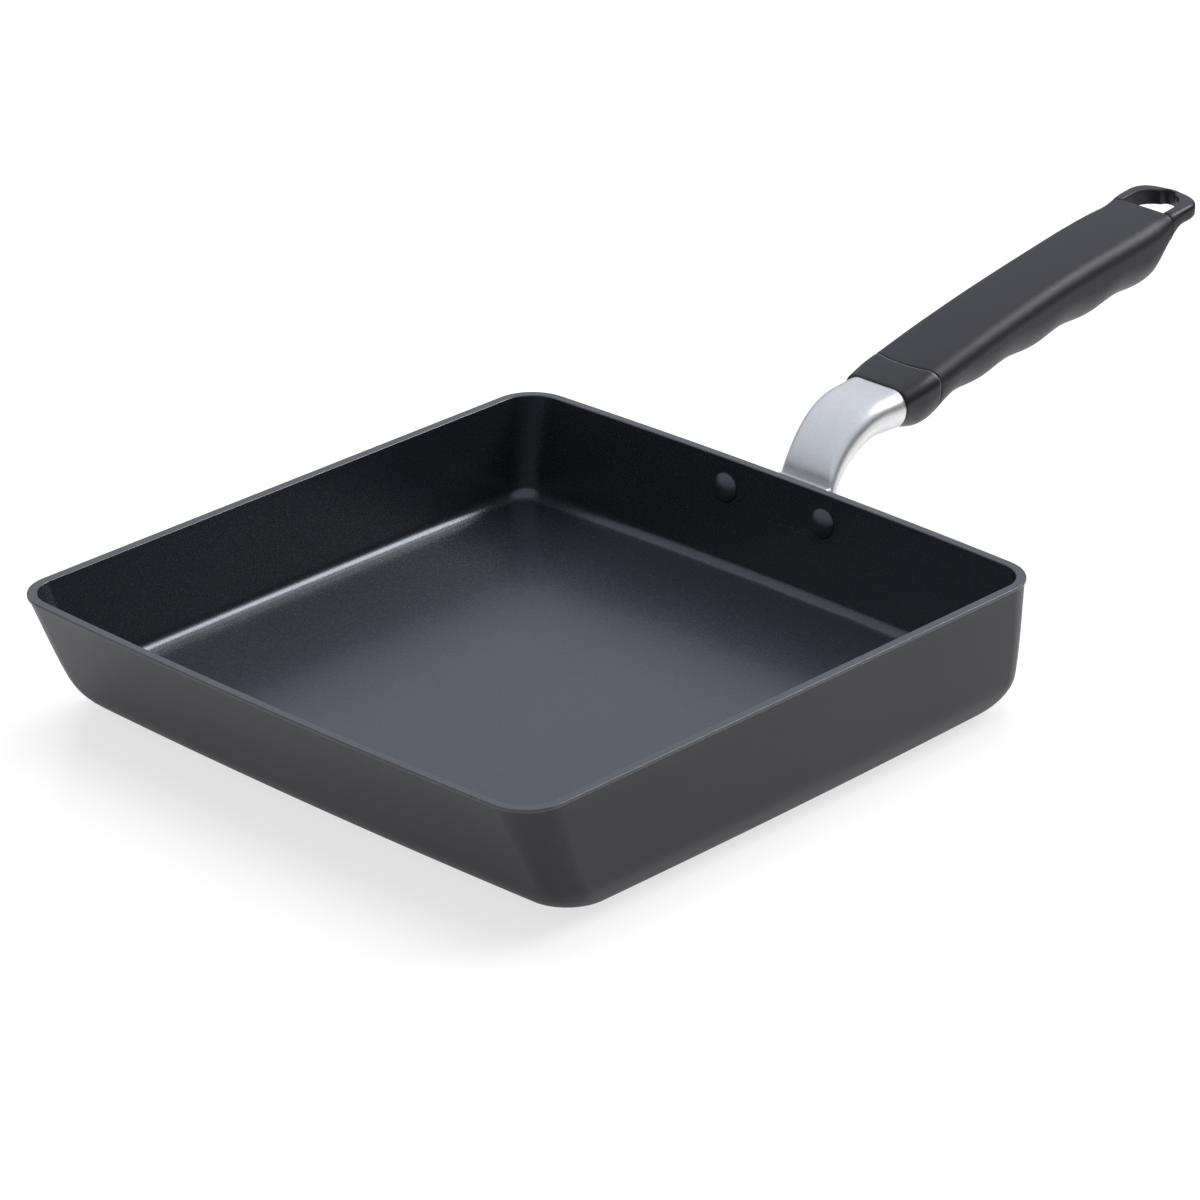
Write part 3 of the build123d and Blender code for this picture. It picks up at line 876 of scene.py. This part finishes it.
def sleeve_tree(sizes):
    """Closed sleeve between the curved front seam and the straight rear seam.

    A grid has rows along the sleeve, over its outside and back along its inside, and columns round it. Each
    of its points is set on the grip's rounded section.
    """
    tree, grip = new_tree("Sleeve with finger bulges", {**sizes, "grip_x": 0.0, "grip_z": 0.0})
    rows, edge = grip.rows, grip.seam_edge
    columns = (grip.corner_steps + grip.flat_steps) * 4
    grid = add(tree, "GeometryNodeMeshGrid", {"Vertices X": rows * 2 + 1, "Vertices Y": columns + 1})
    x, y, _ = split(tree, add(tree, "GeometryNodeInputPosition").outputs[0])
    row = ((x + 0.5) * (rows * 2)).calc("ROUND").calc("FLOORED_MODULO", rows * 2)
    column = ((y + 0.5) * columns).calc("ROUND").calc("FLOORED_MODULO", columns)
    quarter = (column * 4 / columns + NUDGE).calc("FLOOR")
    side, upper, turn = section_place(column, grip.corner_steps, grip.flat_steps, quarter)

    # Rows: the outside with its rounded ends, then the inside on the way back
    inside = row.calc("GREATER_THAN", rows - 0.5)
    ahead = 1 - 2 * (row * 2).calc("GREATER_THAN", rows)
    from_end = row.calc("MINIMUM", rows - 1 - row)
    curl = limit((CURL_ROWS - from_end) / (CURL_ROWS - 1)) * (pi / 2)
    outer_inset = edge * (1 - cosine(curl)) + from_end.calc("LESS_THAN", 0.5) * edge
    inset = mix(outer_inset, grip.sleeve_thickness - SLEEVE_LAP, inside)
    out_share = limit((row - CURL_ROWS) / (rows - (2 * CURL_ROWS + 1)))
    share = mix(out_share, limit((rows * 2 - 1 - row) / (rows - 1)), inside)
    t = mix(seam_at(grip, side, upper, turn) + edge, grip.sleeve_end - edge, share)
    t = t + mix(-(ahead * edge * sine(curl)), mix(-edge, edge, share), inside)

    half = share_curve(tree, t / grip.length, WIDTH_SHARES) * grip.half_width
    y, z = grip_point(grip, t, half, side, upper, turn, inset)
    spot = vector(tree, X=t + grip.grip_x, Y=y, Z=z + grip.grip_z)
    move = add(tree, "GeometryNodeSetPosition", {"Geometry": grid.outputs["Mesh"], "Position": spot})
    weld = add(tree, "GeometryNodeMergeByDistance", {"Geometry": move.outputs[0], "Distance": WELD})
    soft = add(tree, "GeometryNodeSetShadeSmooth", {"Geometry": weld.outputs[0]})
    return end_tree(tree, soft.outputs[0], grip.finish)


def face_out(piece):
    """Turns a closed mesh's faces outwards."""
    form = bmesh.new()
    form.from_mesh(piece.data)
    bmesh.ops.recalc_face_normals(form, faces=form.faces)
    form.to_mesh(piece.data)
    form.free()


class MakeSleeve(bpy.types.Operator):
    """Makes the soft sleeve with its finger bulges"""

    bl_idname = "omelette_pan.make_sleeve"
    bl_label = "Grip Sleeve"

    def execute(self, context):
        grip = settings("grip_sizes")
        sizes = {name: getattr(grip, name) for name in grip.__annotations__}
        finish = moulded("grip_skin", settings("pan_finishes").skin, roughness=0.47, grained=1.0)
        sleeve = make_piece("soft_sleeve", ([], []), [finish])
        grip_x, grip_z = grip_place()
        grow(sleeve, sleeve_tree(sizes), **sizes, grip_x=grip_x, grip_z=grip_z, finish=finish)
        face_out(sleeve)
        weigh_normals(sleeve)
        hand_in(sleeve, "grip_skin", "grip_sleeve")
        return {"FINISHED"}


def core_row(grip, place, inset):
    """Row of points round the core, at a place that follows from the seam's."""
    row = []
    per = grip.corner_steps + grip.flat_steps
    for column in range(4 * per):
        side, upper, turn = section_place(column, grip.corner_steps, grip.flat_steps, column // per)
        t = place(seam_at(grip, side, upper, turn))
        half = grip.half_width * smooth(WIDTH_SHARES, t / grip.length)
        row.append((t, *grip_point(grip, t, half, side, upper, turn, inset)))
    return row


def core_rows(grip):
    """Rows of the core: its front face, the collar up to the seam, and the bar inside the sleeve."""
    edge, under = grip.seam_edge, grip.sleeve_thickness + SLEEVE_GAP
    stations = [(share, step * edge, inset * edge) for share, step, inset in COLLAR_SHARES] + [(1.0, 0.0, under)]
    rows = [core_row(grip, lambda seam: share * seam + step, inset) for share, step, inset in stations]
    for k in range(1, BAR_STEPS + 1):
        rows.append(core_row(grip, lambda seam: mix(seam, grip.sleeve_end, k / BAR_STEPS), under))
    return rows


def loop_paths(grip):
    """Outer and inner line of the hanging loop from above."""
    half = grip.half_width * WIDTH_SHARES[-1][1]
    start, end = grip.sleeve_end, grip.length
    corner, bow = grip.loop_end_corner, grip.loop_bow
    bow_radius = (half ** 2 + bow ** 2) / (2 * bow)
    arc_x = end - bow_radius
    # Centre of the corner's arc, inside the side line and inside the end's arc
    corner_y = half - corner
    corner_x = arc_x + sqrt((bow_radius - corner) ** 2 - corner_y ** 2)
    swing = atan2(corner_y, corner_x - arc_x)
    outer = []
    for k in range(ARM_STEPS):
        t = mix(start, corner_x, k / ARM_STEPS)
        outer.append((t, grip.half_width * smooth(WIDTH_SHARES, t / grip.length)))
    for k in range(END_STEPS + 1):
        turn = mix(pi / 2, swing, k / END_STEPS)
        outer.append((corner_x + corner * cos(turn), corner_y + corner * sin(turn)))
    for k in range(1, END_STEPS):
        turn = mix(swing, 0, k / END_STEPS)
        outer.append((arc_x + bow_radius * cos(turn), bow_radius * sin(turn)))
    hole_half, back, notch = grip.hole_width / 2, start + grip.hole_length, grip.relief / 2
    inner = [(mix(start, back - hole_half, k / ARM_STEPS), hole_half) for k in range(ARM_STEPS)]
    for turn in quarter_turn(len(outer) - ARM_STEPS)[:-1]:
        y = hole_half * cos(turn)
        x = back - hole_half + sqrt(hole_half ** 2 - y ** 2)
        if y < notch:
            x = max(x, back + RELIEF_SHARE * sqrt(notch ** 2 - y ** 2))
        inner.append((x, y))
    outer.append((end, 0.0))
    inner.append((back + RELIEF_SHARE * notch, 0.0))
    return [path + [(x, -y) for x, y in path[-2::-1]] for path in (outer, inner)]


def loop_rows(grip, steps=5):
    """Rows across the hanging loop, from one arm round its end to the other."""
    outer, inner = loop_paths(grip)
    edge, seam = HOLE_EDGE, grip.seam_edge

    def section(k, inset, back_step):
        (ox, oy), (ix, iy) = outer[k], inner[k]
        along = Vector((ix - ox, iy - oy))
        length = along.length
        along.normalize()
        tail = (ox - grip.tail) / grip.tail_length
        shoulder = min(blend(grip.shoulder, grip.loop_shoulder, tail), length * ARM_SHOULDER_SHARE)
        corner = blend(grip.corner, grip.loop_corner, tail)
        # The lower corner ends early where its radius is wider than the arm
        cut_off = acos(limit((corner + edge - length) / (corner - edge)))
        low = corner * (1 - sin(cut_off)) + edge * sin(cut_off)
        ring = []
        for a, b, under, radius, first, last_turn in (
            (shoulder, -shoulder, 0, shoulder, pi / 2, pi), (corner, corner, 1, corner, pi, pi + cut_off),
            (length - edge, low, 1, edge, pi + cut_off, 2 * pi), (length - edge, -edge, 0, edge, 2 * pi, 5 * pi / 2),
        ):
            for j in range(steps + 1):
                turn = mix(first, last_turn, j / steps)
                from_side = a + (radius - inset) * cos(turn)
                x, y = ox + along.x * from_side, oy + along.y * from_side
                z = grip_top(grip, x) - under * grip_depth(grip, x) + b + (radius - inset) * sin(turn)
                ring.append((x + back_step, y, z))
        return ring

    ends = [*LOOP_ENDS, *((min(inset * seam, LOOP_INSET), step * seam) for inset, step in LOOP_END_SHARES)]
    last = len(outer) - 1
    rows = [section(0, *end) for end in ends]
    rows += [section(k, 0.0, seam if k in (0, last) else 0.0) for k in range(last + 1)]
    return rows + [section(last, *end) for end in ends[::-1]]


def screw_line(grip):
    """Point where the screw's axis meets the front wall of the hanging hole, and the axis."""
    front = Vector((0, 0, -grip.screw_front_drop))
    back = Vector((grip.sleeve_end, 0, grip_top(grip, grip.sleeve_end) - grip.screw_drop))
    return back, (back - front).normalized()


class MakeCore(bpy.types.Operator):
    """Makes the hard core of the grip: the collar, the bar inside the sleeve and the hanging loop"""

    bl_idname = "omelette_pan.make_core"
    bl_label = "Grip Core"

    def execute(self, context):
        grip, looks = settings("grip_sizes"), settings("pan_finishes")
        finish = moulded("grip_plastic", looks.core, roughness=0.36, grained=0.35)
        # Painted highlight: a lighter plastic on the collar's rounded edge at the front seam, standing for the light
        # that edge catches
        seam_highlight = moulded("grip_edge", looks.edge, roughness=0.4, grained=0.0)
        rows = moved(core_rows(grip), *grip_place())

        def pick(index):
            return int(index // len(rows[0]) in SEAM_HIGHLIGHT_ROWS)

        bar = make_piece("grip_core_plastic", skin_rows(rows), [finish, seam_highlight], pick)
        mouth, axis = screw_line(grip)
        turn = Vector((1, 0, 0)).rotation_difference(axis).to_matrix()
        bore = lathe([(place, grip.counterbore / 2) for place in (-grip.counterbore_depth, BORE_OVERRUN)])
        bore = moved([[mouth + turn @ Vector(point) for point in row] for row in bore], *grip_place())
        cut(bar, make_piece("counterbore_tool", skin_rows(bore), [finish]))
        loop = make_piece("loop_tool", skin_rows(moved(loop_rows(grip), *grip_place())), [finish])
        form = bmesh.new()
        form.from_mesh(bar.data)
        form.from_mesh(loop.data)
        for face in form.faces:
            face.smooth = True
        form.to_mesh(bar.data)
        form.free()
        bpy.data.objects.remove(loop)
        round_edges(bar, "Bore edge", BORE_EDGE, 2)
        weigh_normals(bar)
        hand_in(bar, "grip_plastic", "grip_core")
        return {"FINISHED"}


class FinishScrew(bpy.types.Operator):
    """Gives the handle screw and its washer their plated steel"""

    bl_idname = "omelette_pan.finish_screw"
    bl_label = "Screw and Washer"

    def execute(self, context):
        finish = plated_steel("plated_steel", settings("pan_finishes").steel)
        for node in ("handle_screw", "lock_washer"):
            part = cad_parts[node]
            part.data.materials.clear()
            part.data.materials.append(finish)
        return {"FINISHED"}


# Finishes

SPECK_COLOUR, SPECK_SHARE = (0.20, 0.21, 0.25), 0.08
# Random value above which a cell has a speck, and the speck's radius in cells
SPECK_CHANCE, SPECK_RADIUS = 0.90, 0.24
COATING_TINT = (0.86, 0.90, 1.0, 1)
PLASTIC_TINT = (0.92, 0.91, 1.0, 1)


def new_finish(name):
    """Material with its shader, and a position in millimetres that its patterns read."""
    finish = bpy.data.materials.new(name)
    finish.use_nodes = True
    tree = finish.node_tree
    where = add(tree, "ShaderNodeTexCoord").outputs["Object"]
    scale = add(tree, "ShaderNodeMapping", {"Vector": where, "Scale": (1 / MM, 1 / MM, 1 / MM)})
    return finish, tree, tree.nodes["Principled BSDF"], scale.outputs[0]


def noise(tree, where, scale, detail=2.0, roughness=0.5):
    """Noise round 0 whose grain is given as grains per millimetre."""
    inputs = {"Vector": where, "Scale": scale, "Detail": detail, "Roughness": roughness}
    return Field(tree, add(tree, "ShaderNodeTexNoise", inputs).outputs[0]) - 0.5


def flakes(tree, where, scale):
    """Random value of the cell that a point lies in, and its distance from the cell's centre."""
    cells = add(tree, "ShaderNodeTexVoronoi", {"Vector": where, "Scale": scale})
    parts = add(tree, "ShaderNodeSeparateColor", {0: cells.outputs["Color"]})
    return Field(tree, parts.outputs[0]), Field(tree, cells.outputs["Distance"])


def tint(tree, share, low, high):
    """Colour between two, of which each is a colour or another tint, by a share."""
    low, high = (end if isinstance(end, bpy.types.NodeSocket) else (*end, 1) for end in (low, high))
    inputs = {"A": low, "B": high, "Factor": limit(share)}
    return add(tree, "ShaderNodeMix", inputs, data_type="RGBA").outputs["Result"]


def shaded(tree, share, rgb, low, high):
    """Tint between a darker and a lighter shade of a colour, for a share round 0."""
    return tint(tree, share + 0.5, [value * low for value in rgb], [value * high for value in rgb])


def bump(tree, height, distance, strength):
    return add(tree, "ShaderNodeBump", {"Height": height, "Distance": distance, "Strength": strength}).outputs[0]


def coating(name, rgb, roughness, gloss, speckle):
    """Non-stick coating: satin, finely grained, with sparse pale specks."""
    finish, tree, shader, where = new_finish(name)
    cloud = noise(tree, where, scale=0.03, detail=3.0)
    grain = noise(tree, where, scale=1.5, detail=3.0, roughness=0.6)
    chance, distance = flakes(tree, where, scale=1.0)
    speck = chance.calc("GREATER_THAN", SPECK_CHANCE) * distance.calc("LESS_THAN", SPECK_RADIUS) * speckle
    base = shaded(tree, cloud * 0.6 + grain * 1.2, rgb, 0.7, 1.35)
    put(tree, shader, {
        "Base Color": tint(tree, speck * SPECK_SHARE, base, SPECK_COLOUR),
        "Roughness": limit(roughness + grain * 0.16),
        "Specular IOR Level": gloss, "Specular Tint": COATING_TINT,
        "Normal": bump(tree, grain + speck * 0.5, 0.02 * MM, 0.35 + 0.3 * speckle),
    })
    return finish


def silver_paint(name, rgb):
    """Silver paint over a casting: satin metal with a fine sparkle."""
    finish, tree, shader, where = new_finish(name)
    cloud = noise(tree, where, scale=0.08, detail=3.0)
    grain = noise(tree, where, scale=1.6, detail=3.0, roughness=0.6)
    sparkle = flakes(tree, where, scale=2.8)[0] - 0.5
    put(tree, shader, {
        "Base Color": shaded(tree, cloud * 0.5 + sparkle * 0.3, rgb, 0.84, 1.14),
        "Roughness": limit(0.34 + sparkle * 0.1 + grain * 0.06), "Metallic": 0.85,
        "Normal": bump(tree, grain + sparkle * 0.5, 0.012 * MM, 0.5),
    })
    return finish


def moulded(name, rgb, roughness, grained):
    """Moulded plastic with a fine grain."""
    finish, tree, shader, where = new_finish(name)
    cloud = noise(tree, where, scale=0.05)
    grain = noise(tree, where, scale=1.7, detail=4.0, roughness=0.65)
    put(tree, shader, {
        "Base Color": shaded(tree, cloud * 0.5 + grain * grained, rgb, 0.75, 1.3),
        "Roughness": limit(roughness + grain * 0.16 * grained + cloud * 0.05),
        "Specular IOR Level": 0.32, "Specular Tint": PLASTIC_TINT,
        "Normal": bump(tree, grain, 0.04 * MM * grained, 0.5),
    })
    return finish


def plated_steel(name, rgb):
    """Zinc plated steel with fine turning marks."""
    finish, tree, shader, where = new_finish(name)
    grain = noise(tree, where, scale=5.0, detail=3.0)
    put(tree, shader, {
        "Base Color": shaded(tree, grain, rgb, 0.8, 1.1),
        "Roughness": limit(0.3 + grain * 0.2), "Metallic": 1.0,
        "Normal": bump(tree, grain, 0.01 * MM, 0.5),
    })
    return finish


# Stage

SENSOR_WIDTH = 36
CLIP_START, CLIP_END = 0.05, 50
KEY_PLACE, KEY_AIM, KEY_WIDTH = (1.35, -0.55, 1.22), (0.05, 0, 0.03), 0.9
TOP_PLACE, TOP_AIM, TOP_WIDTH = (0.35, 0.35, 1.6), (0.05, 0, 0), 1.4
FLOOR_HALF, FLOOR_DROP = 4.0, 0.02 * MM
FLOOR_COLOUR, FAR_FLOOR_COLOUR = (0.86, 0.86, 0.87), (0.08, 0.08, 0.08)
# Distance in millimetres up to which the floor is pale in reflections, and over which it fades
NEAR_FLOOR, FLOOR_FADE = 300, 250
# Heights on the unit sphere over which the surround's two sides brighten, and the direction of the dark one
PALE_RISE, DARK_START, DARK_RISE, DARK_TOP = 0.55, 0.2, 0.5, 0.9
SIDE_X, SIDE_Y, SIDE_START, SIDE_RISE = 0.66, -0.75, 0.15, 0.6


def camera_turn(look):
    """Rotation of the camera from its azimuth, elevation and roll."""
    a, e = look.azimuth, look.elevation
    back = Vector((sin(a) * cos(e), -cos(a) * cos(e), sin(e)))
    right = Vector((cos(a), sin(a), 0))
    up = back.cross(right)
    rolled = cos(look.roll) * right + sin(look.roll) * up
    upright = cos(look.roll) * up - sin(look.roll) * right
    return Matrix((rolled, upright, back)).transposed(), back


def soft_light(name, place, aim, width, power, mirrored=True):
    """Square soft light that faces a point."""
    lamp = bpy.data.lights.new(name, "AREA")
    lamp.shape = "RECTANGLE"
    lamp.size = lamp.size_y = width
    lamp.energy = power
    light = new_object(name, lamp)
    light.location = place
    light.rotation_euler = (Vector(place) - Vector(aim)).to_track_quat("Z", "Y").to_euler()
    light.visible_glossy = mirrored


def ray_kinds(tree):
    """1 for what the camera sees, also through glass, and 1 for what glossy surfaces show."""
    path = add(tree, "ShaderNodeLightPath")
    seen = Field(tree, path.outputs["Is Camera Ray"]) + Field(tree, path.outputs["Is Transmission Ray"])
    return limit(seen), Field(tree, path.outputs["Is Glossy Ray"])


class MakeStage(bpy.types.Operator):
    """Makes the floor, the pale surround, the soft lights and the camera"""

    bl_idname = "omelette_pan.make_stage"
    bl_label = "Stage"

    def execute(self, context):
        look, scene = settings("stage_settings"), context.scene
        turn, back = camera_turn(look)
        lens = bpy.data.cameras.new("camera")
        lens.lens, lens.sensor_width = look.lens, SENSOR_WIDTH
        lens.clip_start, lens.clip_end = CLIP_START, CLIP_END
        scene.camera = new_object("camera", lens)
        scene.camera.matrix_world = Matrix.Translation(Vector(look.target) + look.distance * back) @ turn.to_4x4()

        corners = [(x * FLOOR_HALF, y * FLOOR_HALF, -FLOOR_DROP) for x, y in ((-1, -1), (1, -1), (1, 1), (-1, 1))]
        floor = make_piece("studio_floor", (corners, [(0, 1, 2, 3)]), [self.floor_finish(look)])
        self.surround(scene, look)
        soft_light("key_light", KEY_PLACE, KEY_AIM, KEY_WIDTH, look.key)
        soft_light("top_light", TOP_PLACE, TOP_AIM, TOP_WIDTH, look.top, mirrored=False)
        scene.view_settings.view_transform = "Standard"
        return {"FINISHED"}

    def floor_finish(self, look):
        """Pale floor, near white for the camera, whose far part is dim in reflections."""
        finish, tree, shader, where = new_finish("pale_floor")
        seen, mirrored = ray_kinds(tree)
        distance = add(tree, "ShaderNodeVectorMath", {0: where}, operation="LENGTH").outputs["Value"]
        far = blend(0, 1, (Field(tree, distance) - NEAR_FLOOR) / FLOOR_FADE)
        base = tint(tree, far * mirrored, FLOOR_COLOUR, FAR_FLOOR_COLOUR)
        put(tree, shader, {"Base Color": base, "Roughness": 0.2, "Specular IOR Level": 0.8})
        glow = add(tree, "ShaderNodeEmission", {"Color": (1, 1, 1, 1)})
        share = seen * look.floor_glow + mirrored * (1 - far) * look.floor_gleam
        both = add(tree, "ShaderNodeMixShader", {0: share, 1: shader.outputs[0], 2: glow.outputs[0]})
        put(tree, tree.nodes["Material Output"], {"Surface": both.outputs[0]})
        return finish

    def surround(self, scene, look):
        """World that is white to the camera, even on surfaces, and dim near the horizon in reflections."""
        scene.world = bpy.data.worlds.new("pale_surround")
        scene.world.use_nodes = True
        tree = scene.world.node_tree
        seen, mirrored = ray_kinds(tree)
        x, y, z = split(tree, add(tree, "ShaderNodeTexCoord").outputs["Generated"])
        pale = blend(look.horizon, 1.0, z / PALE_RISE)
        dark = blend(look.dark_side, DARK_TOP, (z - DARK_START) / DARK_RISE)
        to_side = blend(0, 1, (x * SIDE_X + y * SIDE_Y - SIDE_START) / SIDE_RISE)
        put(tree, tree.nodes["Background"], {
            "Color": tint(tree, mirrored - seen, (1, 1, 1), look.gloss_tint),
            "Strength": mix(mix(look.surround, mix(pale, dark, to_side), mirrored), 1.0, seen),
        })


class PanPanel(bpy.types.Panel):
    """Lists the pan's pieces and settings"""

    bl_idname = "VIEW3D_PT_omelette_pan"
    bl_label = "Omelette Pan"
    bl_space_type = "VIEW_3D"
    bl_region_type = "UI"
    bl_category = "Omelette Pan"

    def draw(self, context):
        for step in STEPS:
            self.layout.operator(step.bl_idname)
        for name, group in GROUPS.items():
            box = self.layout.box()
            box.label(text=words(name))
            for setting in group.__annotations__:
                box.prop(getattr(context.scene, name), setting)


GROUPS = {
    "pan_sizes": PanSizes,
    "rivet_sizes": RivetSizes,
    "bracket_sizes": BracketSizes,
    "grip_sizes": GripSizes,
    "pan_finishes": Finishes,
    "stage_settings": StageSettings,
}
STEPS = (MakeStage, MakePanBody, MakeRivets, MakeBracket, MakeCore, MakeSleeve, FinishScrew)


def register():
    for group in (*GROUPS.values(), *STEPS, PanPanel):
        bpy.utils.register_class(group)
    for name, group in GROUPS.items():
        setattr(bpy.types.Scene, name, bpy.props.PointerProperty(type=group))


def unregister():
    for name in GROUPS:
        delattr(bpy.types.Scene, name)
    for group in reversed((*GROUPS.values(), *STEPS, PanPanel)):
        bpy.utils.unregister_class(group)


def main():
    register()
    bpy.ops.omelette_pan.make_stage()
    bpy.ops.omelette_pan.make_pan_body()
    bpy.ops.omelette_pan.make_rivets()
    bpy.ops.omelette_pan.make_bracket()
    bpy.ops.omelette_pan.make_core()
    bpy.ops.omelette_pan.make_sleeve()
    bpy.ops.omelette_pan.finish_screw()


if __name__ == "__main__":
    main()
